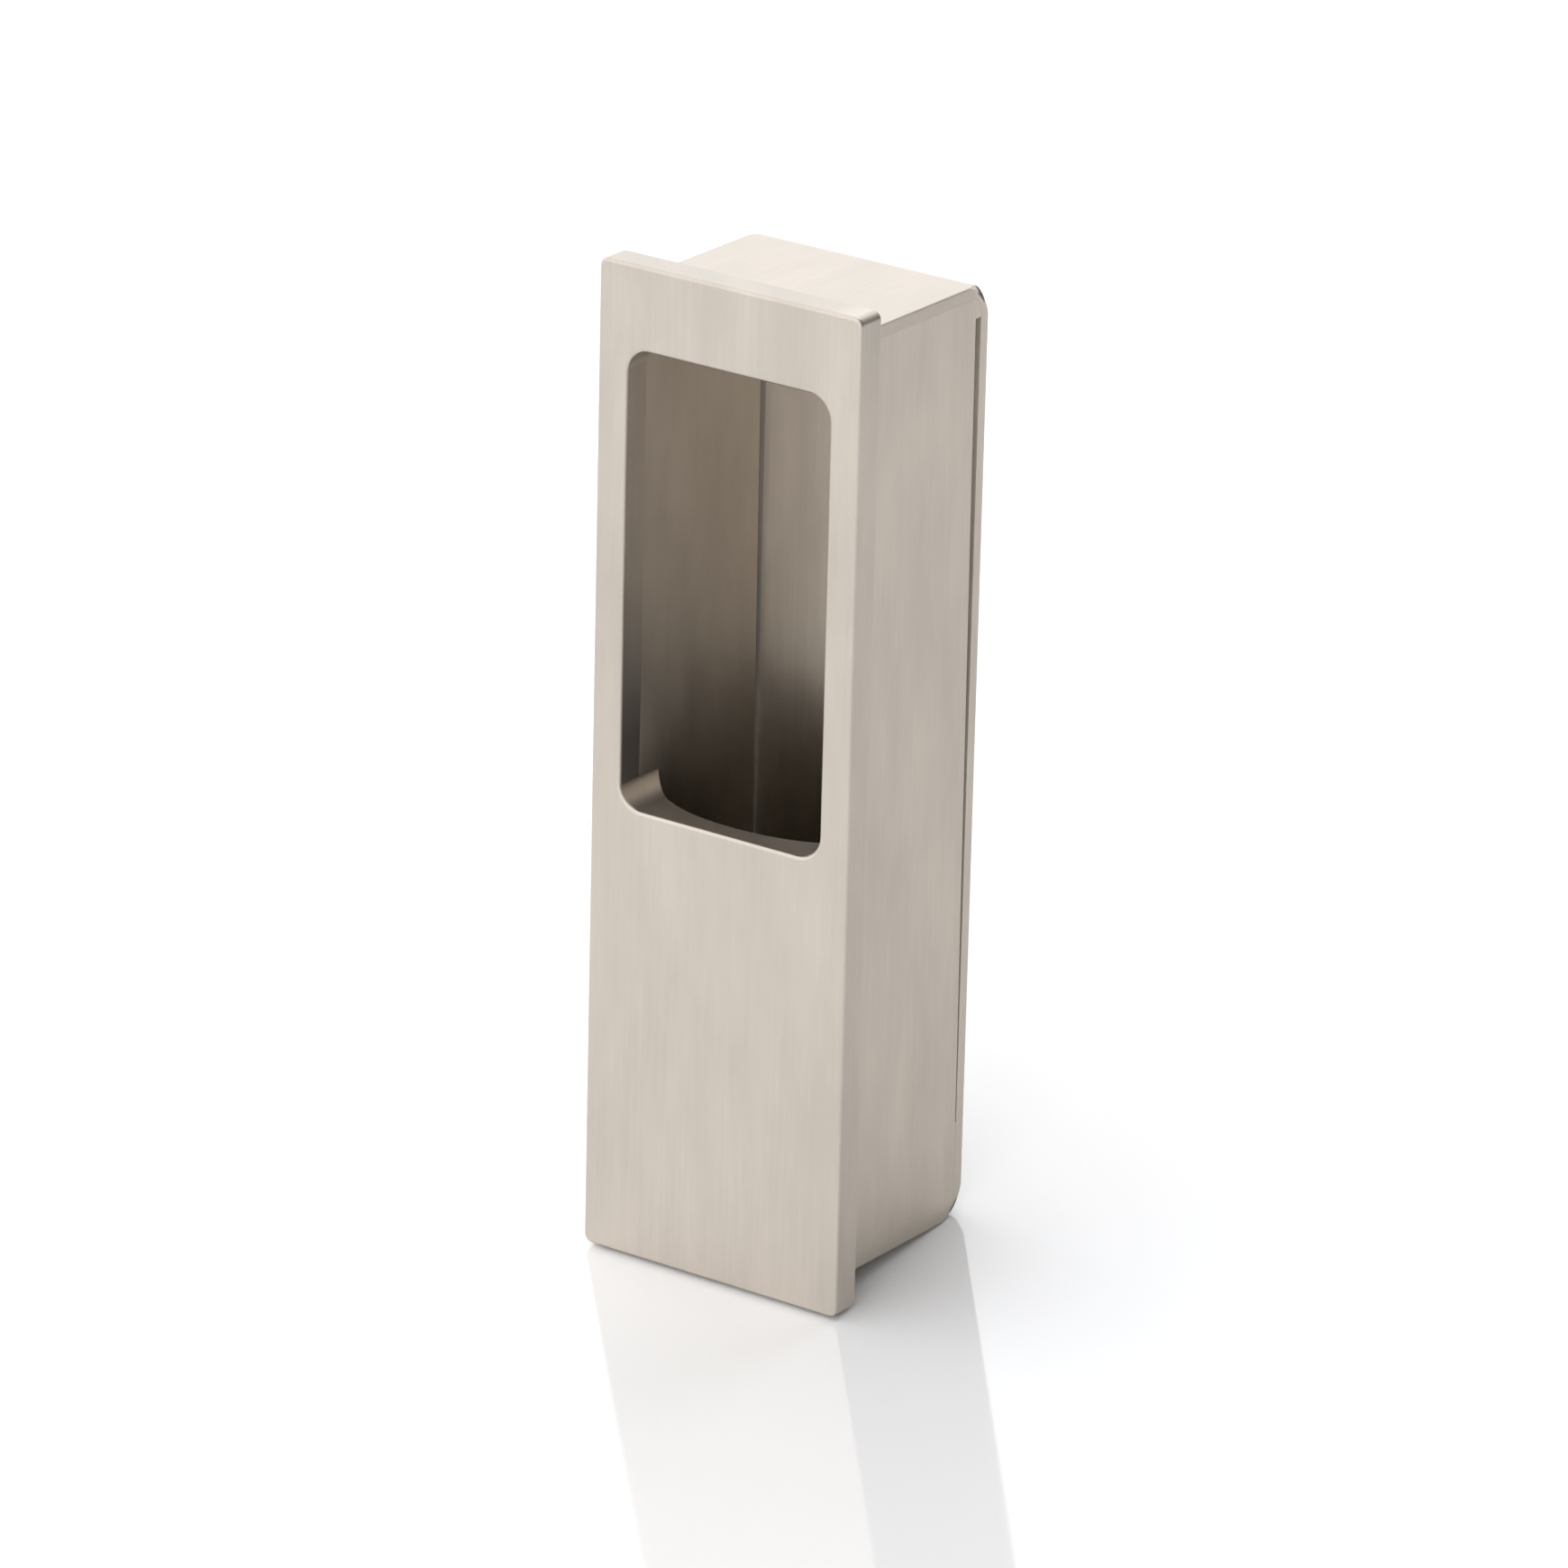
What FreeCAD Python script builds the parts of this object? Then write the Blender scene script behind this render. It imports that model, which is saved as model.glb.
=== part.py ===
import FreeCAD, Part
import math
import os

# Pocket door edge pull: a thick front plate with a finger window in its upper half, and a sheet metal
# box behind it that takes the fingertip.  The box is one bent strip (top, back and bottom) closed by
# two flat side plates.  All four pieces are stainless steel, welded together and linished.
#
# Frame, in mm: X across the plate, +Y from the plate into the door, +Z up.  The origin is the centre
# of the plate's seating plane, which is the plate's back face.

# Front plate
plate_height = 120.0
plate_width = 36.0
plate_thickness = 3.8
plate_corner_radius = 1.0
plate_edge_easing = 0.4

# Finger window, measured down from the plate's top end
window_width = 28.0
window_height = 55.0
window_top_margin = 10.0
window_corner_radius = 4.0
window_edge_easing = 0.45

# Box behind the plate
box_depth = 24.7
box_end_inset = 3.0
strip_thickness = 1.5
bend_inner_radius = 1.5
strip_edge_easing = 0.6
side_plate_thickness = 1.5

# The bends are dressed back at both ends of the strip, so each corner of the box's side view has a
# larger radius than the bend, and a crescent is left between the two
side_corner_radius = 4.8

# Open seam between the strip's back and each side plate, wider at its upper end
seam_gap_top = 0.95
seam_gap_bottom = 0.1
seam_top_land = 3.9
seam_bottom_land = 12.0

# How far a cutting tool reaches past the faces that it cuts, and how near counts as touching
tool_margin = 1.0
tolerance = 1e-6
quarter_turn = 90.0

# Worked out from the sizes above
box_width = window_width + 2.0 * side_plate_thickness
box_top = plate_height / 2.0 - box_end_inset
bend_outer_radius = bend_inner_radius + strip_thickness
inner_top = box_top - strip_thickness
inner_depth = box_depth - strip_thickness
crescent_depth = (side_corner_radius - bend_outer_radius) * (math.sqrt(2.0) - 1.0)
window_top = plate_height / 2.0 - window_top_margin
window_centre_z = window_top - window_height / 2.0


def point(y, z, x=0.0):
    """Point in the box's middle section, or beside it at x."""
    return FreeCAD.Vector(x, y, z)


def slab(width, height, y_front, y_back, centre_z=0.0):
    """Upright block from y_front to y_back, centred across the plate."""
    corner = FreeCAD.Vector(-width / 2.0, y_front, centre_z - height / 2.0)
    return Part.makeBox(width, y_back - y_front, height, corner)


def rounded_slab(width, height, radius, y_front, y_back, centre_z=0.0):
    """Slab whose four edges along Y are rounded."""
    block = slab(width, height, y_front, y_back, centre_z)
    corner_edges = [edge for edge in block.Edges if edge.BoundBox.YLength > (y_back - y_front) / 2.0]
    return block.makeFillet(radius, corner_edges)


def edges_in_plane_y(shape, y):
    """Edges that lie wholly in the upright plane at y."""
    return [
        edge
        for edge in shape.Edges
        if edge.BoundBox.YLength < tolerance and abs(edge.BoundBox.YMin - y) < tolerance
    ]


def is_window_edge(edge):
    """True for an edge of the finger window, which touches none of the plate's four sides."""
    box = edge.BoundBox
    half_width = plate_width / 2.0 - plate_edge_easing
    half_height = plate_height / 2.0 - plate_edge_easing
    return max(box.XMax, -box.XMin) < half_width and max(box.ZMax, -box.ZMin) < half_height


def front_plate():
    """Thick plate with rounded corners, an eased front edge and the finger window."""
    plate = rounded_slab(plate_width, plate_height, plate_corner_radius, -plate_thickness, 0.0)
    window = rounded_slab(
        window_width,
        window_height,
        window_corner_radius,
        -plate_thickness - tool_margin,
        tool_margin,
        window_centre_z,
    )
    plate = plate.cut(window)
    front_edges = edges_in_plane_y(plate, -plate_thickness)
    rim_edges = [edge for edge in front_edges if is_window_edge(edge)]
    plate = plate.makeFillet(window_edge_easing, rim_edges)
    outer_edges = [
        edge for edge in edges_in_plane_y(plate, -plate_thickness) if not is_window_edge(edge)
    ]
    return plate.makeFillet(plate_edge_easing, outer_edges)


def bent_outline(depth, top, radius):
    """Edges of a U lying on its side, from the upper leg's tip round the back to the lower leg's."""
    bend_y = depth - radius
    bend_z = top - radius
    middle = radius * math.sqrt(0.5)
    upper_bend = Part.Arc(
        point(bend_y, top), point(bend_y + middle, bend_z + middle), point(depth, bend_z)
    )
    lower_bend = Part.Arc(
        point(depth, -bend_z), point(bend_y + middle, -bend_z - middle), point(bend_y, -top)
    )
    return [
        Part.LineSegment(point(0.0, top), point(bend_y, top)).toShape(),
        upper_bend.toShape(),
        Part.LineSegment(point(depth, bend_z), point(depth, -bend_z)).toShape(),
        lower_bend.toShape(),
        Part.LineSegment(point(bend_y, -top), point(0.0, -top)).toShape(),
    ]


def extrude_outline(edges, x_start, x_end):
    """Solid between two X positions whose section is the closed outline."""
    face = Part.Face(Part.Wire(edges))
    face.translate(FreeCAD.Vector(x_start, 0.0, 0.0))
    return face.extrude(FreeCAD.Vector(x_end - x_start, 0.0, 0.0))


def strip_blank():
    """The bent strip before its edges are eased: top leg, back and bottom leg in one."""
    outer = bent_outline(box_depth, box_top, bend_outer_radius)
    inner = bent_outline(inner_depth, inner_top, bend_inner_radius)
    upper_tip = Part.LineSegment(point(0.0, inner_top), point(0.0, box_top)).toShape()
    lower_tip = Part.LineSegment(point(0.0, -box_top), point(0.0, -inner_top)).toShape()
    outline = outer + [lower_tip] + inner[::-1] + [upper_tip]
    return extrude_outline(Part.__sortEdges__(outline), -box_width / 2.0, box_width / 2.0)


def is_outer_long_edge(edge):
    """True for an edge along the outside of the strip, straight or round a bend."""
    middle = edge.valueAt((edge.FirstParameter + edge.LastParameter) / 2.0)
    beside = abs(abs(middle.x) - box_width / 2.0) < tolerance
    past_bend_y = max(middle.y - (box_depth - bend_outer_radius), 0.0)
    past_bend_z = max(abs(middle.z) - (box_top - bend_outer_radius), 0.0)
    outside = abs(math.hypot(past_bend_y, past_bend_z) - bend_outer_radius) < tolerance
    return beside and outside


def crescent_tool(side):
    """Ring round the upper corner that cuts the end of the bend back, at 45 degrees.

    It meets the box's side at the corner's larger radius, and reaches the outside of the bend a
    crescent's depth further in.
    """
    reach = crescent_depth + tool_margin
    axis_y = box_depth - side_corner_radius
    axis_z = box_top - side_corner_radius
    outside_x = side * (box_width / 2.0 + reach)
    inside_x = side * (box_width / 2.0 - reach)
    section = Part.makePolygon(
        [
            point(box_depth - reach, axis_z, outside_x),
            point(box_depth + reach, axis_z, outside_x),
            point(box_depth + reach, axis_z, inside_x),
            point(box_depth - reach, axis_z, outside_x),
        ]
    )
    corner_axis = point(axis_y, axis_z)
    return Part.Face(section).revolve(corner_axis, FreeCAD.Vector(1.0, 0.0, 0.0), quarter_turn)


def wrap_strip():
    """Bent strip with eased outer edges and a crescent at each end of both bends."""
    strip = strip_blank()
    long_edges = [edge for edge in strip.Edges if is_outer_long_edge(edge)]
    strip = strip.makeFillet(strip_edge_easing, long_edges)
    for side in (-1.0, 1.0):
        upper = crescent_tool(side)
        lower = upper.mirror(point(0.0, 0.0), FreeCAD.Vector(0.0, 0.0, 1.0))
        strip = strip.cut(upper).cut(lower)
    return strip


def seam_tool(x_start, x_end):
    """Tapered slot along the back edge of a side plate."""
    top_z = box_top - seam_top_land
    bottom_z = seam_bottom_land - box_top
    slot = Part.makePolygon(
        [
            point(inner_depth + tool_margin, top_z),
            point(inner_depth + tool_margin, bottom_z),
            point(inner_depth - seam_gap_bottom, bottom_z),
            point(inner_depth - seam_gap_top, top_z),
            point(inner_depth + tool_margin, top_z),
        ]
    )
    return extrude_outline(slot.Edges, x_start - tool_margin, x_end + tool_margin)


def side_plate(side):
    """Flat plate that fills the strip's section, with the open seam at its back edge."""
    inside_x = side * window_width / 2.0
    outside_x = inside_x + side * side_plate_thickness
    x_start, x_end = sorted((inside_x, outside_x))
    outline = bent_outline(inner_depth, inner_top, bend_inner_radius)
    front = Part.LineSegment(point(0.0, -inner_top), point(0.0, inner_top)).toShape()
    plate = extrude_outline(outline + [front], x_start, x_end)
    return plate.cut(seam_tool(x_start, x_end))


def single_solid(shape):
    """The one solid that a piece consists of, with seamless faces joined."""
    cleaned = shape.removeSplitter()
    assert len(cleaned.Solids) == 1 and cleaned.isValid()
    return cleaned.Solids[0]


def build():
    """Write one STEP file per piece."""
    pieces = {
        "front_plate": front_plate(),
        "wrap_strip": wrap_strip(),
        "left_side_plate": side_plate(-1.0),
        "right_side_plate": side_plate(1.0),
    }
    os.makedirs("parts", exist_ok=True)
    for name, shape in pieces.items():
        solid = single_solid(shape)
        solid.exportStep(os.path.join("parts", name + ".step"))
        print(name, round(solid.Volume, 1), "mm3")


build()
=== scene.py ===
import math

import bpy
import numpy as np
from mathutils import Matrix, Vector


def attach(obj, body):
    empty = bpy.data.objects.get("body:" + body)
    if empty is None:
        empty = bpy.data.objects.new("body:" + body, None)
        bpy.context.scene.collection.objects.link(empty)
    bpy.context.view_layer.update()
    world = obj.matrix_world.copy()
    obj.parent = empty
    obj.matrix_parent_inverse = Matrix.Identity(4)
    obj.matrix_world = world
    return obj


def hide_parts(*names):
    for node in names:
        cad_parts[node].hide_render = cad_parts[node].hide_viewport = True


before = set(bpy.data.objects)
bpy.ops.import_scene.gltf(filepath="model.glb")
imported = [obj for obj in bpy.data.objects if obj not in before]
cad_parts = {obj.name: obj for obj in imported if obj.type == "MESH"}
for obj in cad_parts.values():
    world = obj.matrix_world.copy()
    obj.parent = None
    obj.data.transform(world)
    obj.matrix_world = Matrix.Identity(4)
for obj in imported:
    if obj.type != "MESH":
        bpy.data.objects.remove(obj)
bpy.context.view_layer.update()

# A pocket door edge pull in satin stainless steel: a thick front plate with a finger window, and a
# box behind it made of one bent strip and two side plates.  X runs across the plate, +Y into the
# door, +Z up, and the origin is the centre of the plate's back face.  Sizes are in metres.

MM = 0.001

# Front plate
PLATE_HALF_WIDTH = 18.0 * MM
PLATE_HALF_HEIGHT = 60.0 * MM
PLATE_THICKNESS = 3.8 * MM
PLATE_CORNER_RADIUS = 1.0 * MM
PLATE_EASING = 0.4 * MM
PLATE_BACK_EASING = 0.12 * MM
# Painted shade: a slight darkening painted on the plate's sides
PLATE_SIDE_PAINTED_SHADE = 0.07
FRONT_ROWS = 6
BACK_ROUND_STEPS = 3

# Finger window
WINDOW_HALF_WIDTH = 14.0 * MM
WINDOW_HALF_HEIGHT = 27.5 * MM
WINDOW_CENTRE_Z = 22.5 * MM
WINDOW_CORNER_RADIUS = 3.0 * MM
WINDOW_EASING = 0.45 * MM

# Grip: the window's sill is hollowed from behind, and at both ends it runs on into the box
GRIP_HOLLOW = 1.3 * MM
GRIP_RADIUS = 22.0 * MM
GRIP_THICKNESS = 1.4 * MM
GRIP_TUCK = 0.05 * MM
GRIP_STEPS = 6

# Painted shade on the window's cut faces: on the sill and its corners, which goes by how squarely
# # they face up, and on the two upright walls, where it deepens from the upper of two heights to
# the lower
GRIP_PAINTED_SHADE = 0.8
FACES_UP = (0.6, 1.0)
FACES_SIDEWAYS = 0.99
WALL_PAINTED_SHADE_TOP = 0.15
WALL_PAINTED_SHADE_BOTTOM = 0.85
WALL_DARKENS = (24.0 * MM, 2.0 * MM)

# Box
BOX_HALF_WIDTH = 15.5 * MM
BOX_HALF_HEIGHT = 57.0 * MM
BOX_DEPTH = 24.7 * MM
SHEET = 1.5 * MM
BEND_RADIUS = 3.0 * MM
BOX_EASING = 0.15 * MM
SIDE_CORNER_RADIUS = 4.8 * MM
LEG_STEPS = 9
BACK_STEPS = 13

# Painted shade on the box: on the dressed corners, where it begins and covers at two depths of the
# # dressing and ends a margin below its edge, and on the strip behind the far seam, where the gap
# # lies in shade.  The inside is a little rawer than the outside, and the strip's long edges are
# # half as raw as a sheared edge.
PAINTED_SHADE_BEGINS = 0.55 * MM
PAINTED_SHADE_COVERS = 0.72 * MM
PAINTED_SHADE_MARGIN = 0.4 * MM
FAR_SEAM_PAINTED_SHADE = 0.4
INSIDE_RAW = 0.15
LONG_EDGE_RAW = 0.5

# Open seam between the strip's back and each side plate.  There the side plate's edge is eased,
# and more so on its inner side.  At both ends of the seam it steps out over a short height, which
# is also the easing of the rest of its edge.
SEAM_GAP_TOP = 0.95 * MM
SEAM_GAP_BOTTOM = 0.1 * MM
SEAM_TOP_LAND = 3.9 * MM
SEAM_BOTTOM_LAND = 12.0 * MM
SEAM_EASING = 0.12 * MM
SEAM_INNER_SHARE = 3.0
SEAM_STEPS = 13
SEAM_ROUND_STEPS = 4
SEAM_END = 0.02 * MM

# Rows of points that stand this far from an edge keep the flat faces beside it flat, and those on
# each side of the line where a side plate ends stand this share of the box's half width from it
FLAT_MARGIN = 0.05 * MM
SEAT_MARGIN = 0.002
ROUND_STEPS = 8
CORNER_STEPS = 12
SIDE_STEPS = 10
SHARP_ANGLE = math.radians(30.0)

# Share of y that is added to the grain's length, so the map stays open on the plate's end faces
GRAIN_SLOPE = 0.02

# Steel: the part of the noise's range that is used, what it does to shade and roughness, and the
# share of the clouds against the streaks
NOISE_RANGE = (0.3, 0.7)
SHADE_RANGE = (0.91, 1.09)
ROUGHNESS_RANGE = (0.34, 0.41)
CLOUD_SHARE = 0.78
SCRATCH_DEPTH = 0.02 * MM
RAW_ROUGHNESS = 0.7
# Colour of the painted shade: a dark brown that isn't metal
PAINTED_SHADE_COLOUR = "#2a2019"

# Sky of a white tent that is open on its right side, with the way to the middle of the opening and
# how squarely a direction has to face it to look at the tent's edge and at the opening alone
TENT_OPENING = (0.966, 0.259, 0.0)
TENT_EDGE = (0.5, 0.78)
TENT_LIGHT = 1.4
OPENING_LIGHT = 0.07

# Camera: turn to the left, tilt down and roll in radians, and its place, all fitted to the straight
# edges of the plate and the box, and a long lens
CAMERA_TURN = (0.6163, 0.3602, 0.0241)
CAMERA_PLACE = (0.6065, -0.8473, 0.39256)
CAMERA_LENS = 225.27
CAMERA_SENSOR = 36.0
CAMERA_CLIP = (0.05, 20.0)

FLOOR_HALF_SIZE = 3.0


# Shapes


def smooth_step(value, start, end):
    """Share that goes from 0 at start to 1 at end: three times its square less twice its cube."""
    share = np.clip((value - start) / (end - start), 0.0, 1.0)
    return share * share * (3.0 - 2.0 * share)


def rounded_rectangle(half_width, half_height, radius):
    """Loop of points, anticlockwise from the lower right corner.

    Each corner is a quarter circle about the point that lies one radius inside both sides.  Each
    side is divided evenly between two corners.
    """
    angles = np.linspace(0.0, 0.5 * np.pi, CORNER_STEPS + 1)
    corners = []
    for turn, (sign_x, sign_z) in enumerate(((1, -1), (1, 1), (-1, 1), (-1, -1))):
        around = angles + (turn - 1) * 0.5 * np.pi
        x = sign_x * (half_width - radius) + radius * np.cos(around)
        z = sign_z * (half_height - radius) + radius * np.sin(around)
        corners.append(np.column_stack((x, z)))
    loop = []
    share = (np.arange(1, SIDE_STEPS) / SIDE_STEPS)[:, None]
    for corner, following in zip(corners, corners[1:] + corners[:1]):
        loop += [corner, corner[-1] * (1.0 - share) + following[0] * share]
    return np.concatenate(loop)


def mesh_from_grid(points, close_rows, cap_ends):
    """Vertices and faces of a grid of points, whose every row closes on itself."""
    rows, columns, _ = points.shape
    last_row = rows if close_rows else rows - 1
    row, column = np.meshgrid(np.arange(last_row), np.arange(columns), indexing="ij")
    next_row, next_column = (row + 1) % rows, (column + 1) % columns
    quads = np.stack(
        (
            row * columns + column,
            next_row * columns + column,
            next_row * columns + next_column,
            row * columns + next_column,
        ),
        axis=-1,
    ).reshape(-1, 4)
    faces = quads.tolist()
    if cap_ends:
        faces.append(list(range(columns)))
        faces.append(list(range(rows * columns - 1, (rows - 1) * columns - 1, -1)))
    return points.reshape(-1, 3), faces


def enclosed_volume(mesh):
    """Volume inside a closed mesh, from the pyramids between its triangles and the origin."""
    mesh.calc_loop_triangles()
    corners = np.empty(len(mesh.loop_triangles) * 3, dtype=np.int32)
    mesh.loop_triangles.foreach_get("vertices", corners)
    coordinates = np.empty(len(mesh.vertices) * 3)
    mesh.vertices.foreach_get("co", coordinates)
    a, b, c = coordinates.reshape(-1, 3)[corners.reshape(-1, 3)].transpose(1, 0, 2)
    return float(np.einsum("ij,ij->i", a, np.cross(b, c)).sum() / 6.0)


def add_piece(name, points, maps, material, node, close_rows=False, cap_ends=True):
    """Closed object from a grid of points and its maps, each of which is a grid of the same size.

    The map called grain holds two lengths in metres, across the grain and along it.  The others
    hold how far, from 0 to 1, the surface is left raw or carries painted shade.
    """
    vertices, faces = mesh_from_grid(points, close_rows, cap_ends)
    mesh = bpy.data.meshes.new(name)
    mesh.from_pydata(vertices.tolist(), [], faces)
    if enclosed_volume(mesh) < 0.0:
        mesh.flip_normals()
    mesh.shade_smooth()
    mesh.set_sharp_from_angle(angle=SHARP_ANGLE)
    corner_vertices = np.empty(len(mesh.loops), dtype=np.int32)
    mesh.loops.foreach_get("vertex_index", corner_vertices)
    uv_layer = mesh.uv_layers.new(name="grain")
    uv_layer.uv.foreach_set("vector", maps["grain"].reshape(-1, 2)[corner_vertices].ravel())
    for kind in ("raw", "painted_shade"):
        values = maps.get(kind, np.zeros(points.shape[:2]))
        mesh.attributes.new(kind, "FLOAT", "POINT").data.foreach_set("value", values.ravel())
    mesh.materials.append(material)
    piece = bpy.data.objects.new(name, mesh)
    bpy.context.scene.collection.objects.link(piece)
    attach(piece, "root")
    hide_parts(node)


def eased_corner(radius, steps=ROUND_STEPS):
    """Quarter circle from (radius, 0) to (0, radius): its distances inside two faces."""
    angles = np.linspace(0.0, 0.5 * np.pi, steps + 1)
    return radius * (1.0 - np.sin(angles)), radius * (1.0 - np.cos(angles))


def plate_rows():
    """Section of the plate from the window round to the window again, as rows of five values.

    Each row is a rounded rectangle: half width, half height, corner radius, height of its centre
    and y.  The rows begin on the window's wall, just behind its rim, and go over the eased rim,
    across the front face, over the outer eased edge, down the plate's side and across the back to
    where the grip begins.
    """
    window = np.array(
        [WINDOW_HALF_WIDTH, WINDOW_HALF_HEIGHT, WINDOW_CORNER_RADIUS, WINDOW_CENTRE_Z]
    )
    outer = np.array([PLATE_HALF_WIDTH, PLATE_HALF_HEIGHT, PLATE_CORNER_RADIUS, 0.0])
    grow = np.array([1.0, 1.0, 1.0, 0.0])
    front = -PLATE_THICKNESS

    def window_row(inset, y):
        return np.append(window + inset * grow, y)

    def outer_row(inset, y):
        return np.append(outer - inset * grow, y)

    rim_drop, rim_inset = eased_corner(WINDOW_EASING)
    edge_inset, edge_drop = eased_corner(PLATE_EASING)
    back_drop, back_inset = eased_corner(PLATE_BACK_EASING, BACK_ROUND_STEPS)
    inner_front = window_row(WINDOW_EASING + FLAT_MARGIN, front)
    outer_front = outer_row(PLATE_EASING + FLAT_MARGIN, front)
    outer_back = outer_row(PLATE_BACK_EASING + FLAT_MARGIN, 0.0)
    inner_back = window_row(0.0, 0.0)
    rows = [window_row(0.0, front + WINDOW_EASING + FLAT_MARGIN)]
    rows += [window_row(i, front + d) for i, d in zip(rim_inset, rim_drop)]
    shares = np.linspace(0.0, 1.0, FRONT_ROWS)
    rows += [inner_front * (1.0 - s) + outer_front * s for s in shares]
    rows += [outer_row(i, front + d) for i, d in zip(edge_inset, edge_drop)]
    rows += [outer_row(0.0, front + PLATE_EASING + FLAT_MARGIN)]
    rows += [outer_row(0.0, -PLATE_BACK_EASING - FLAT_MARGIN)]
    rows += [outer_row(i, -d) for i, d in zip(back_inset, back_drop)]
    rows += [outer_back * (1.0 - s) + inner_back * s for s in (0.0, 0.5)]
    rows += [window_row(GRIP_THICKNESS, 0.0)]
    return np.array(rows)


def grip_rows(window, outward):
    """Rows of points from the plate's back to the window's wall, over the back edge of the grip.

    The edge's plan is an arc.  In the middle it lies the hollow's depth in front of the plate's
    back.  Towards both ends it goes back by radius - sqrt(radius^2 - x^2).  Where the edge lies in
    the plate, a quarter of an ellipse rounds it over.  Where it stands behind the plate, a quarter
    of an ellipse takes its underside back to the plate.  Above the sill's corners the edge lies in
    the plate's back.
    """
    x, z = window[:, 0], window[:, 1]
    corner_top = WINDOW_CENTRE_Z - WINDOW_HALF_HEIGHT + WINDOW_CORNER_RADIUS
    lower = z < corner_top + FLAT_MARGIN
    arc = GRIP_RADIUS - np.sqrt(GRIP_RADIUS**2 - x**2)
    edge_y = np.where(lower, arc - GRIP_HOLLOW, 0.0)
    tuck = np.where(edge_y > 0.0, GRIP_TUCK, 0.0)
    angles = np.linspace(0.5 * np.pi, 0.0, GRIP_STEPS + 1)[1:, None]
    rounded_out = GRIP_THICKNESS * (1.0 - np.cos(angles))
    rounded_y = edge_y * (1.0 - np.sin(angles))
    under_out = tuck + (GRIP_THICKNESS - tuck) * np.sin(angles)
    under_y = edge_y * np.cos(angles)
    behind = edge_y > 0.0
    out = np.where(behind, under_out, rounded_out)
    y = np.where(behind, under_y, rounded_y)
    out = np.vstack((out, tuck))
    y = np.vstack((y, edge_y - FLAT_MARGIN))
    return np.dstack((x + out * outward[:, 0], y, z + out * outward[:, 1]))


def plate_painted_shade(x, wall_z, outward, grip_count):
    """Painted shade on the plate: a trace on its sides, and more on the window's cut faces.

    There a smooth step of how squarely the sill faces up gives its painted shade, and a smooth step
    of the height gives that of the upright walls, which deepens towards the sill.
    """
    on_side = np.isclose(np.abs(x).max(axis=1), PLATE_HALF_WIDTH)
    on_wall = np.zeros(len(x), dtype=bool)
    on_wall[:2] = True
    on_wall[-grip_count:] = True
    # Painted shade on the sill by how it faces up, and on the walls, darker towards the sill
    sill = GRIP_PAINTED_SHADE * smooth_step(-outward[:, 1], *FACES_UP)
    deepened = (WALL_PAINTED_SHADE_BOTTOM - WALL_PAINTED_SHADE_TOP) * smooth_step(wall_z, *WALL_DARKENS)
    walls = (WALL_PAINTED_SHADE_TOP + deepened) * (np.abs(outward[:, 0]) > FACES_SIDEWAYS)
    return PLATE_SIDE_PAINTED_SHADE * on_side[:, None] + on_wall[:, None] * (sill + walls)


def front_plate(material):
    """Plate as a closed ring: a rounded rectangle for each row of its section, then the grip."""
    loops = []
    for half_width, half_height, radius, centre_z, y in plate_rows():
        loop = rounded_rectangle(half_width, half_height, radius)
        loops.append(np.column_stack((loop[:, 0], np.full(len(loop), y), loop[:, 1] + centre_z)))
    sizes = np.array([WINDOW_HALF_WIDTH, WINDOW_HALF_HEIGHT, WINDOW_CORNER_RADIUS])
    window = rounded_rectangle(*sizes)
    # One millimetre more on every size moves each point of the loop by one along its own way out
    outward = (rounded_rectangle(*(sizes + MM)) - window) / MM
    window += np.array([0.0, WINDOW_CENTRE_Z])
    grip = grip_rows(window, outward)
    points = np.concatenate((loops, grip))
    x, y, z = np.moveaxis(points, -1, 0)
    maps = {
        "grain": np.stack((x + y, z + GRAIN_SLOPE * y), axis=-1),
        "painted_shade": plate_painted_shade(x, window[:, 1], outward, len(grip)),
    }
    add_piece("plate", points, maps, material, "front_plate", True, False)


def strip_path():
    """Outside of the strip in the box's middle section: points (y, z) and the way they face.

    The upper half runs from the plate along the top, round a quarter circle and down the back to
    the middle; the lower half is its mirror image, gone through backwards.
    """
    bend_y = BOX_DEPTH - BEND_RADIUS
    bend_z = BOX_HALF_HEIGHT - BEND_RADIUS
    dressed_y = BOX_DEPTH - SIDE_CORNER_RADIUS
    dressed_z = BOX_HALF_HEIGHT - SIDE_CORNER_RADIUS
    leg_y = np.concatenate(
        (
            np.linspace(0.0, dressed_y, LEG_STEPS),
            np.linspace(dressed_y, bend_y, LEG_STEPS)[1:-1],
        )
    )
    angles = np.linspace(0.0, 0.5 * np.pi, 2 * CORNER_STEPS + 1)
    back_z = np.concatenate(
        (
            np.linspace(bend_z, dressed_z, LEG_STEPS)[1:],
            np.linspace(dressed_z, 0.0, BACK_STEPS)[1:],
        )
    )
    top = np.column_stack((leg_y, np.full(len(leg_y), BOX_HALF_HEIGHT)))
    bend = np.column_stack(
        (bend_y + BEND_RADIUS * np.sin(angles), bend_z + BEND_RADIUS * np.cos(angles))
    )
    back = np.column_stack((np.full(len(back_z), BOX_DEPTH), back_z))
    facing = np.concatenate(
        (
            np.tile((0.0, 1.0), (len(top), 1)),
            np.column_stack((np.sin(angles), np.cos(angles))),
            np.tile((1.0, 0.0), (len(back), 1)),
        )
    )
    path = np.concatenate((top, bend, back))
    mirror = np.array([1.0, -1.0])
    return (
        np.concatenate((path, path[-2::-1] * mirror)),
        np.concatenate((facing, facing[-2::-1] * mirror)),
    )


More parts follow.
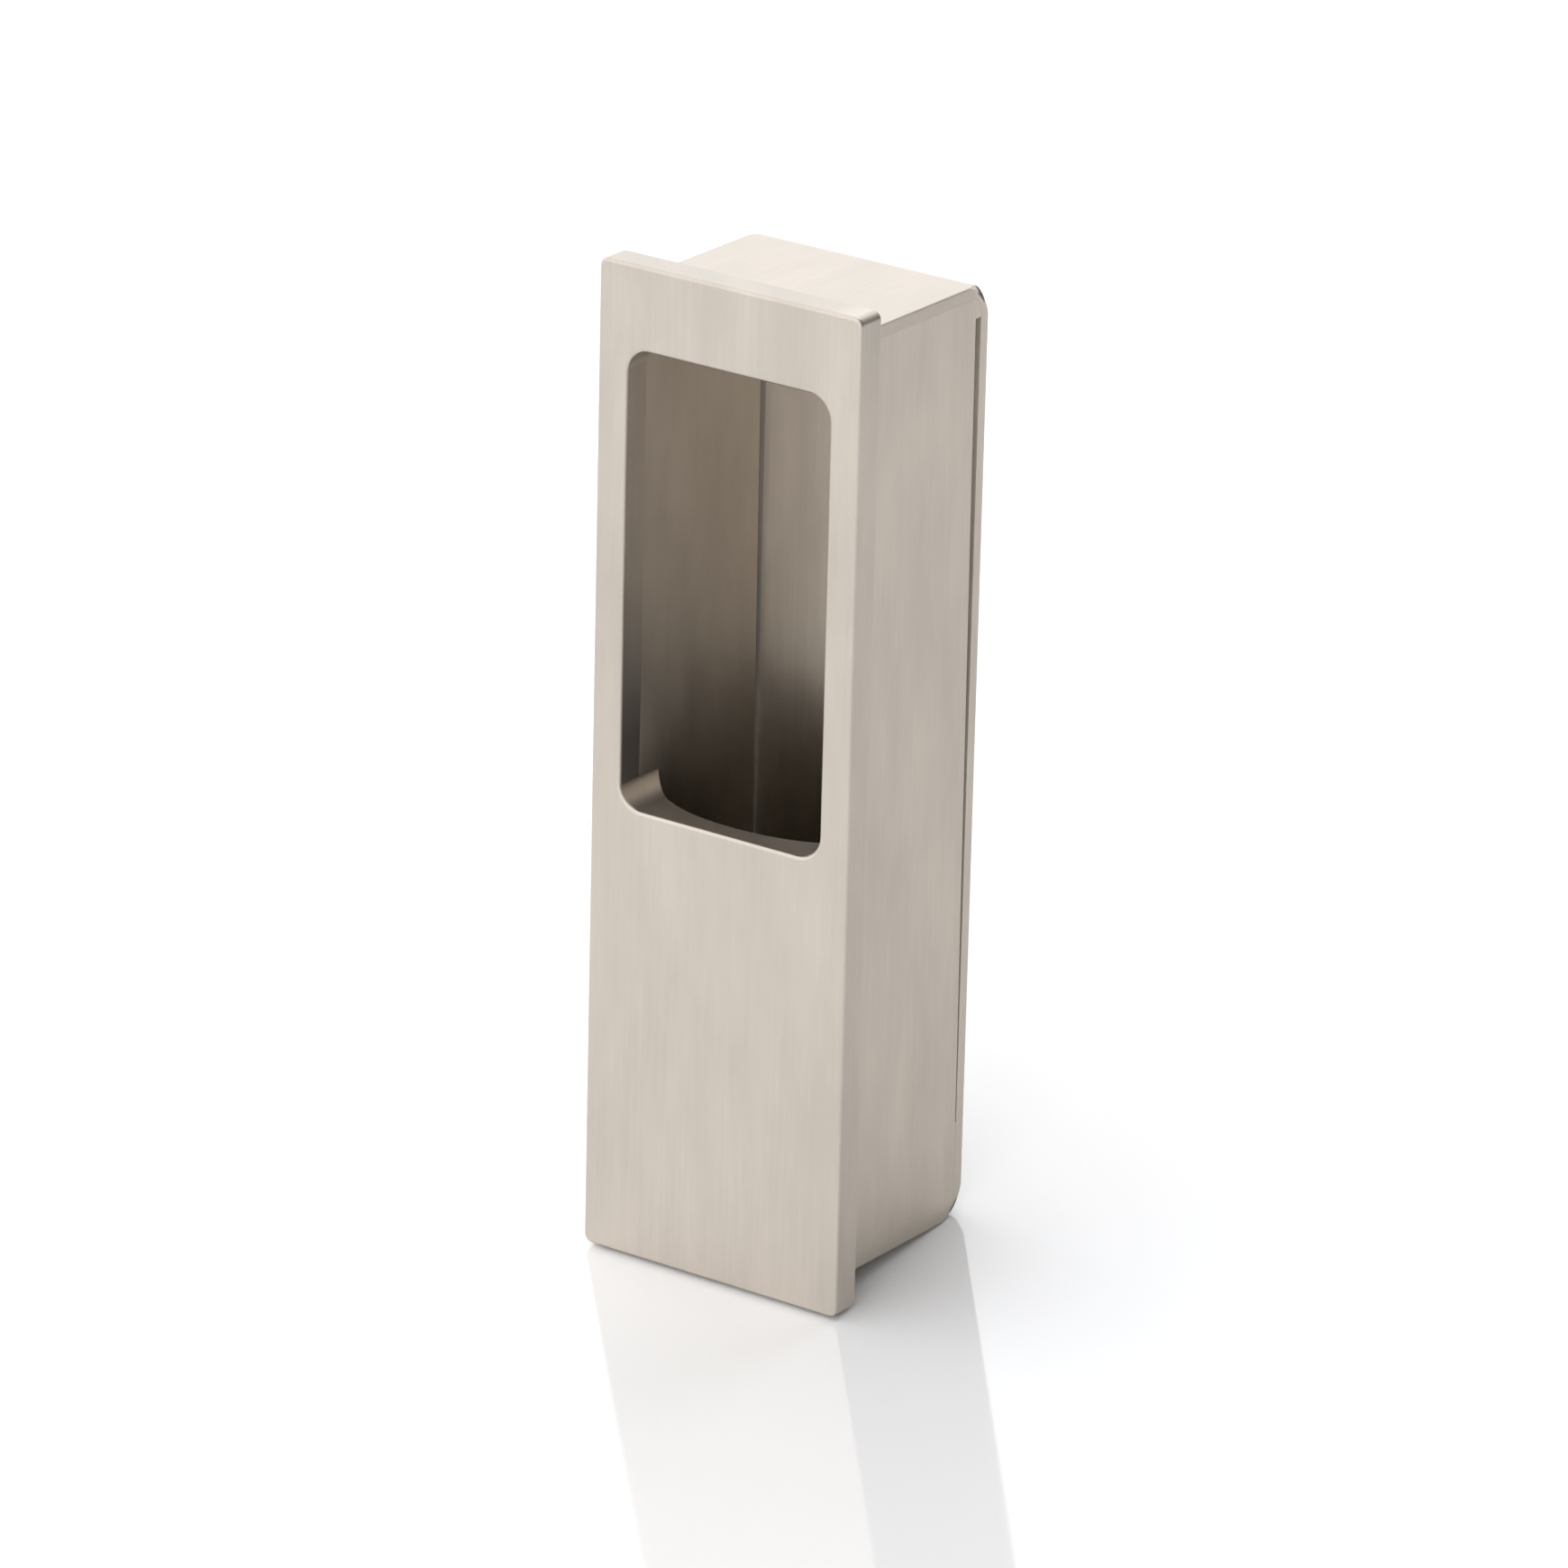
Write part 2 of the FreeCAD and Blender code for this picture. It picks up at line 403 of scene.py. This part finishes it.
def dressed_depths(path, facing):
    """How far the strip's ends are dressed back at each point of its path: inward and downward.

    The dressing follows a quarter circle of the side corner's radius.  Inward it is the point's
    distance outside that circle, and downward the way from the point to the circle against the
    point's facing, from the quadratic that the two give.
    """
    centre = np.array([BOX_DEPTH - SIDE_CORNER_RADIUS, BOX_HALF_HEIGHT - SIDE_CORNER_RADIUS])
    offset = np.column_stack((path[:, 0], np.abs(path[:, 1]))) - centre
    upright = np.column_stack((facing[:, 0], np.abs(facing[:, 1])))
    in_corner = (offset > 0.0).all(axis=1)
    beyond = np.linalg.norm(offset, axis=1) - SIDE_CORNER_RADIUS
    along = (offset * upright).sum(axis=1)
    spread = (offset**2).sum(axis=1) - SIDE_CORNER_RADIUS**2
    down = along - np.sqrt(np.maximum(along**2 - spread, 0.0))
    return np.where(in_corner, beyond, 0.0), np.where(in_corner, down, 0.0)


def wrap_strip(material):
    """Section of the strip carried along its path, one row of points for each place on the path.

    The section runs over the outer face from one side to the other, down the side and back along
    the inner face.  Its outer corners are quarter circles, which change into the flats of the
    dressing round the two bends.
    """
    path, facing = strip_path()
    inward, downward = dressed_depths(path, facing)
    round_in, round_down = eased_corner(BOX_EASING)
    share = np.linspace(0.0, 1.0, len(round_in))
    flat_in = inward[:, None] * (1.0 - share)
    flat_down = downward[:, None] * share
    mix = smooth_step(np.maximum(inward, downward), 0.0, BOX_EASING)[:, None]
    corner_in = round_in * (1.0 - mix) + flat_in * mix
    corner_down = round_down * (1.0 - mix) + flat_down * mix
    ones = np.ones((len(path), 1))
    flat_edge = BOX_HALF_WIDTH - corner_in[:, :1] - FLAT_MARGIN
    across = flat_edge * np.linspace(-1.0, 1.0, 7)
    side_down = corner_down[:, -1:] + np.array([FLAT_MARGIN, PAINTED_SHADE_MARGIN, 0.0])
    side_down[:, -1] = SHEET - FLAT_MARGIN
    side_x = BOX_HALF_WIDTH * np.ones_like(side_down)
    # The inner face has a column of points on each side of the line where a side plate ends
    seat = 1.0 - SHEET / BOX_HALF_WIDTH
    right_half = np.array([1.0, seat + SEAT_MARGIN, seat - SEAT_MARGIN, 0.6, 0.2])
    inner_share = np.concatenate((right_half, -right_half[::-1]))
    inner_x = BOX_HALF_WIDTH * inner_share * ones
    corner_x = BOX_HALF_WIDTH - corner_in
    x = np.hstack((across, corner_x, side_x, inner_x, -side_x, -corner_x[:, ::-1]))
    down = np.hstack(
        (
            np.zeros_like(across),
            corner_down,
            side_down,
            np.full_like(inner_x, SHEET),
            side_down[:, ::-1],
            corner_down[:, ::-1],
        )
    )
    # Painted shade: dark colour laid on the dressed corners of the bends and on the inner face
    # behind the far seam, where they lie in shade
    covered = smooth_step(inward, PAINTED_SHADE_BEGINS, PAINTED_SHADE_COVERS)[:, None]
    painted_shade_side = covered * np.array([1.0, 0.0, 0.0])
    painted_shade_corner = covered * np.ones_like(corner_in)
    painted_shade = np.hstack(
        (
            np.zeros_like(across),
            painted_shade_corner,
            painted_shade_side,
            FAR_SEAM_PAINTED_SHADE * (inner_share < -seat) * ones,
            painted_shade_side[:, ::-1],
            painted_shade_corner,
        )
    )
    raw_inner = np.where(np.abs(inner_share) > seat, 1.0, INSIDE_RAW) * ones
    raw_corner = np.full_like(corner_in, LONG_EDGE_RAW)
    raw = np.hstack(
        (
            np.zeros_like(across),
            raw_corner,
            painted_shade_side,
            raw_inner,
            painted_shade_side[:, ::-1],
            raw_corner,
        )
    )
    yz = path[:, None, :] - down[:, :, None] * facing[:, None, :]
    points = np.dstack((x, yz[:, :, 0], yz[:, :, 1]))
    length = np.concatenate(([0.0], np.cumsum(np.linalg.norm(np.diff(path, axis=0), axis=1))))
    maps = {
        "grain": np.dstack((x + down, length[:, None] * np.ones_like(x))),
        "painted_shade": painted_shade,
        "raw": raw,
    }
    add_piece("bent_strip", points, maps, material, "wrap_strip")


def seam_rows():
    """Heights, back edges and edge easings of a side plate, from its top end to its bottom end."""
    inner_top = BOX_HALF_HEIGHT - SHEET
    inner_back = BOX_DEPTH - SHEET
    radius = BEND_RADIUS - SHEET
    slot_top = BOX_HALF_HEIGHT - SEAM_TOP_LAND
    slot_bottom = SEAM_BOTTOM_LAND - BOX_HALF_HEIGHT
    angles = np.linspace(0.0, 0.5 * np.pi, CORNER_STEPS + 1)
    corner_z = inner_top - radius + radius * np.cos(angles)
    corner_y = inner_back - radius + radius * np.sin(angles)
    slot_z = np.linspace(slot_top, slot_bottom, SEAM_STEPS)
    slot_y = inner_back - np.linspace(SEAM_GAP_TOP, SEAM_GAP_BOTTOM, SEAM_STEPS)
    land_top = [slot_top + SEAM_END]
    land_bottom = [slot_bottom - SEAM_END]
    z = np.concatenate((corner_z, land_top, slot_z, land_bottom, -corner_z[::-1]))
    y = np.concatenate((corner_y, [inner_back], slot_y, [inner_back], corner_y[::-1]))
    easing = np.full(len(z), SEAM_END)
    easing[len(corner_z) + 1 : len(corner_z) + 1 + len(slot_z)] = SEAM_EASING
    return z, y, easing


def side_plate(name, side, node, material):
    """Flat plate whose section, a thin rectangle with eased back corners, is carried down it."""
    z, back_y, easing = seam_rows()
    ones = np.ones((len(z), 1))
    round_in, round_down = eased_corner(1.0, SEAM_ROUND_STEPS)
    outside, inside = BOX_HALF_WIDTH, BOX_HALF_WIDTH - SHEET
    eased_x = outside - round_in * easing[:, None]
    inner_easing = SEAM_INNER_SHARE * easing[:, None]
    inner_x = inside + round_in * inner_easing
    inner_y = back_y[:, None] - round_down * inner_easing
    front_x = np.hstack((inside * ones, 0.5 * (inside + outside) * ones, outside * ones))
    margin = (easing + FLAT_MARGIN)[:, None]
    x = np.hstack((front_x, outside * ones, eased_x[:, ::-1], inner_x, inside * ones))
    y = np.hstack(
        (
            0.0 * front_x,
            back_y[:, None] - margin,
            back_y[:, None] - round_down[::-1] * easing[:, None],
            inner_y,
            back_y[:, None] - inner_easing - FLAT_MARGIN,
        )
    )
    points = np.dstack((side * x, y, z[:, None] * np.ones_like(x)))
    # The back edge is raw as sheared, from the middle of its easing on
    raw = (y > back_y[:, None] - 0.5 * margin).astype(float)
    raw[:, [0, -1]] = INSIDE_RAW
    maps = {"grain": np.dstack((x + y, points[:, :, 2])), "raw": raw}
    add_piece(name, points, maps, material, node)


# Materials


def linear(hex_colour):
    """Scene colour of an sRGB hex value."""
    value = hex_colour.lstrip("#")
    channels = [int(value[i : i + 2], 16) / 255.0 for i in (0, 2, 4)]
    light = [c / 12.92 if c <= 0.04045 else ((c + 0.055) / 1.055) ** 2.4 for c in channels]
    return (*light, 1.0)


def add_node(tree, kind, settings=None, inputs=None):
    """Node with its settings; an input is a number, a colour or another node's output."""
    node = tree.nodes.new(kind)
    for name, value in (settings or {}).items():
        setattr(node, name, value)
    for name, value in (inputs or {}).items():
        if isinstance(value, bpy.types.NodeSocket):
            tree.links.new(value, node.inputs[name])
        else:
            node.inputs[name].default_value = value
    return node


def new_material(name):
    """Empty node material, its tree and its output node."""
    material = bpy.data.materials.new(name)
    material.use_nodes = True
    material.node_tree.nodes.clear()
    return material, material.node_tree, material.node_tree.nodes.new("ShaderNodeOutputMaterial")


def linished_steel(name, colour):
    """Stainless steel linished along its length with a fine belt.

    It is a warm satin grey.  The belt's scratches are too fine to see one by one: they stretch
    every highlight across the grain and leave faint streaks along it, and the tone is slightly
    uneven.
    """
    material, tree, output = new_material(name)
    uv = add_node(tree, "ShaderNodeUVMap", {"uv_map": "grain"}).outputs["UV"]
    tangent = add_node(tree, "ShaderNodeTangent", {"direction_type": "UV_MAP", "uv_map": "grain"})
    # Streaks: the belt leaves scratches about 0.1 mm apart and 20 mm long, too fine to show, so
    # they are drawn 0.5 mm apart
    streak_place = add_node(
        tree, "ShaderNodeMapping", {}, {"Vector": uv, "Scale": (2000.0, 50.0, 1.0)}
    )
    streaks = add_node(
        tree,
        "ShaderNodeTexNoise",
        {"noise_dimensions": "2D"},
        {"Vector": streak_place.outputs["Vector"], "Scale": 1.0, "Detail": 3.0, "Roughness": 0.6},
    ).outputs["Fac"]
    # Clouds: the belt cuts unevenly, in bands about 8 mm wide and 26 mm long
    cloud_place = add_node(
        tree, "ShaderNodeMapping", {}, {"Vector": uv, "Scale": (120.0, 38.0, 1.0)}
    )
    clouds = add_node(
        tree,
        "ShaderNodeTexNoise",
        {"noise_dimensions": "2D"},
        {"Vector": cloud_place.outputs["Vector"], "Scale": 1.0, "Detail": 3.0, "Roughness": 0.55},
    ).outputs["Fac"]
    both = add_node(
        tree,
        "ShaderNodeMix",
        {"data_type": "FLOAT"},
        {"Factor": CLOUD_SHARE, "A": streaks, "B": clouds},
    ).outputs["Result"]
    noise = {"Value": both, "From Min": NOISE_RANGE[0], "From Max": NOISE_RANGE[1]}
    shade = add_node(
        tree,
        "ShaderNodeMapRange",
        {},
        {**noise, "To Min": SHADE_RANGE[0], "To Max": SHADE_RANGE[1]},
    ).outputs["Result"]
    tone = add_node(
        tree,
        "ShaderNodeHueSaturation",
        {},
        {"Color": linear(colour), "Value": shade},
    ).outputs["Color"]
    roughness = add_node(
        tree,
        "ShaderNodeMapRange",
        {},
        {**noise, "To Min": ROUGHNESS_RANGE[0], "To Max": ROUGHNESS_RANGE[1]},
    ).outputs["Result"]
    bump = add_node(
        tree, "ShaderNodeBump", {}, {"Strength": 0.25, "Distance": SCRATCH_DEPTH, "Height": streaks}
    )
    # Sheared edges are raw and rough.  Painted shade, a dark colour which isn't metal, is laid on
    #     # the dressed ends of the bends, the window's cut faces, the plate's sides and the strip
    #     behind
    #     # the far seam.  In a Mix node of colours, 0 is the share, and 6 and 7 are the two
    #     colours.
    raw = add_node(tree, "ShaderNodeAttribute", {"attribute_name": "raw"}).outputs["Fac"]
    painted_shade = add_node(tree, "ShaderNodeAttribute", {"attribute_name": "painted_shade"}).outputs["Fac"]
    surface = add_node(
        tree, "ShaderNodeMix", {"data_type": "RGBA"}, {0: painted_shade, 6: tone, 7: linear(PAINTED_SHADE_COLOUR)}
    ).outputs[2]
    metal = add_node(
        tree, "ShaderNodeMath", {"operation": "SUBTRACT"}, {0: 1.0, 1: painted_shade}
    ).outputs["Value"]
    dullness = add_node(
        tree,
        "ShaderNodeMix",
        {"data_type": "FLOAT"},
        {"Factor": raw, "A": roughness, "B": RAW_ROUGHNESS},
    ).outputs["Result"]
    shader = add_node(
        tree,
        "ShaderNodeBsdfPrincipled",
        {},
        {
            "Base Color": surface,
            "Metallic": metal,
            "Roughness": dullness,
            "Anisotropic": 0.8,
            "Tangent": tangent.outputs["Tangent"],
            "Normal": bump.outputs["Normal"],
        },
    )
    tree.links.new(shader.outputs["BSDF"], output.inputs["Surface"])
    return material


def gloss_sheet():
    """White acrylic sheet, polished: it mirrors a fifth of what stands on it, more further off.

    Its IOR is above the 1.49 of acrylic, which gives the mirror image in the floor its strength.
    """
    material, tree, output = new_material("white_acrylic_polished")
    shader = add_node(
        tree,
        "ShaderNodeBsdfPrincipled",
        {},
        {"Base Color": linear("#fcfcfd"), "Roughness": 0.06, "IOR": 2.0},
    )
    tree.links.new(shader.outputs["BSDF"], output.inputs["Surface"])
    return material


# Stage


def floor_tilt():
    """Angle of the floor about the plate's lower back edge, at which it touches the lower bend."""
    centre_y = BOX_DEPTH - BEND_RADIUS
    centre_z = PLATE_HALF_HEIGHT - BOX_HALF_HEIGHT + BEND_RADIUS
    reach = math.hypot(centre_y, centre_z)
    return math.atan2(centre_z, centre_y) - math.asin(BEND_RADIUS / reach)


def add_floor():
    """Large flat sheet under the pull."""
    tilt = floor_tilt()
    across, along = FLOOR_HALF_SIZE * np.array([[-1.0, 1.0, 1.0, -1.0], [-1.0, -1.0, 1.0, 1.0]])
    height = along * math.sin(tilt) - PLATE_HALF_HEIGHT
    corners = np.column_stack((across, along * math.cos(tilt), height))
    mesh = bpy.data.meshes.new("floor")
    mesh.from_pydata(corners.tolist(), [], [(0, 1, 2, 3)])
    mesh.materials.append(gloss_sheet())
    floor = bpy.data.objects.new("floor", mesh)
    bpy.context.scene.collection.objects.link(floor)


def add_camera():
    """Camera with a long lens: its axes come from its turn, and stand in its matrix as columns."""
    yaw, pitch, roll = CAMERA_TURN
    forward = np.array(
        [-math.sin(yaw) * math.cos(pitch), math.cos(yaw) * math.cos(pitch), -math.sin(pitch)]
    )
    level = np.array([math.cos(yaw), math.sin(yaw), 0.0])
    upright = np.cross(level, forward)
    right = math.cos(roll) * level + math.sin(roll) * upright
    up = math.cos(roll) * upright - math.sin(roll) * level
    data = bpy.data.cameras.new("camera")
    data.lens = CAMERA_LENS
    data.sensor_width = CAMERA_SENSOR
    data.clip_start, data.clip_end = CAMERA_CLIP
    camera = bpy.data.objects.new("camera", data)
    place = np.eye(4)
    place[:3, :3] = np.column_stack((right, up, -forward))
    place[:3, 3] = CAMERA_PLACE
    camera.matrix_world = Matrix(place.tolist())
    bpy.context.scene.collection.objects.link(camera)
    bpy.context.scene.camera = camera


def add_world():
    """Even white light of a tent all round, except for an opening with dim light on the right.

    The change from one to the other follows how squarely a direction, laid level, faces the
    opening: the product of the two directions.
    """
    world = bpy.data.worlds.new("studio")
    world.use_nodes = True
    tree = world.node_tree
    direction = add_node(tree, "ShaderNodeTexCoord").outputs["Generated"]
    level = add_node(
        tree, "ShaderNodeVectorMath", {"operation": "MULTIPLY"}, {0: direction, 1: (1.0, 1.0, 0.0)}
    ).outputs["Vector"]
    heading = add_node(
        tree, "ShaderNodeVectorMath", {"operation": "NORMALIZE"}, {0: level}
    ).outputs["Vector"]
    toward = add_node(
        tree, "ShaderNodeVectorMath", {"operation": "DOT_PRODUCT"}, {0: heading, 1: TENT_OPENING}
    ).outputs["Value"]
    strength = add_node(
        tree,
        "ShaderNodeMapRange",
        {"interpolation_type": "SMOOTHSTEP"},
        {
            "Value": toward,
            "From Min": TENT_EDGE[0],
            "From Max": TENT_EDGE[1],
            "To Min": TENT_LIGHT,
            "To Max": OPENING_LIGHT,
        },
    ).outputs["Result"]
    background = tree.nodes["Background"]
    background.inputs["Color"].default_value = linear("#ffffff")
    tree.links.new(strength, background.inputs["Strength"])
    bpy.context.scene.world = world


def add_soft_box(name, place, target, width, height, power, colour):
    """Rectangular soft box that faces a point."""
    data = bpy.data.lights.new(name, "AREA")
    data.shape = "RECTANGLE"
    data.size = width
    data.size_y = height
    data.energy = power
    data.color = linear(colour)[:3]
    light = bpy.data.objects.new(name, data)
    light.location = place
    light.rotation_euler = (Vector(target) - Vector(place)).to_track_quat("-Z", "Y").to_euler()
    bpy.context.scene.collection.objects.link(light)


plate_steel = linished_steel("stainless_steel_linished_plate", "#d0c7bc")
sheet_steel = linished_steel("stainless_steel_linished_sheet", "#cec5b9")
front_plate(plate_steel)
wrap_strip(sheet_steel)
side_plate("left_cheek", -1.0, "left_side_plate", sheet_steel)
side_plate("right_cheek", 1.0, "right_side_plate", sheet_steel)
add_floor()
add_camera()
add_world()
add_soft_box(
    "behind_left",
    place=(-1.13, 1.6, 0.75),
    target=(0.0, 0.0, 0.0),
    width=2.6,
    height=1.6,
    power=2.5,
    colour="#cfe4ff",
)
# The inside of the box mirrors itself several times before it gets dark
bpy.context.scene.cycles.glossy_bounces = 8
bpy.context.scene.view_settings.view_transform = "Standard"
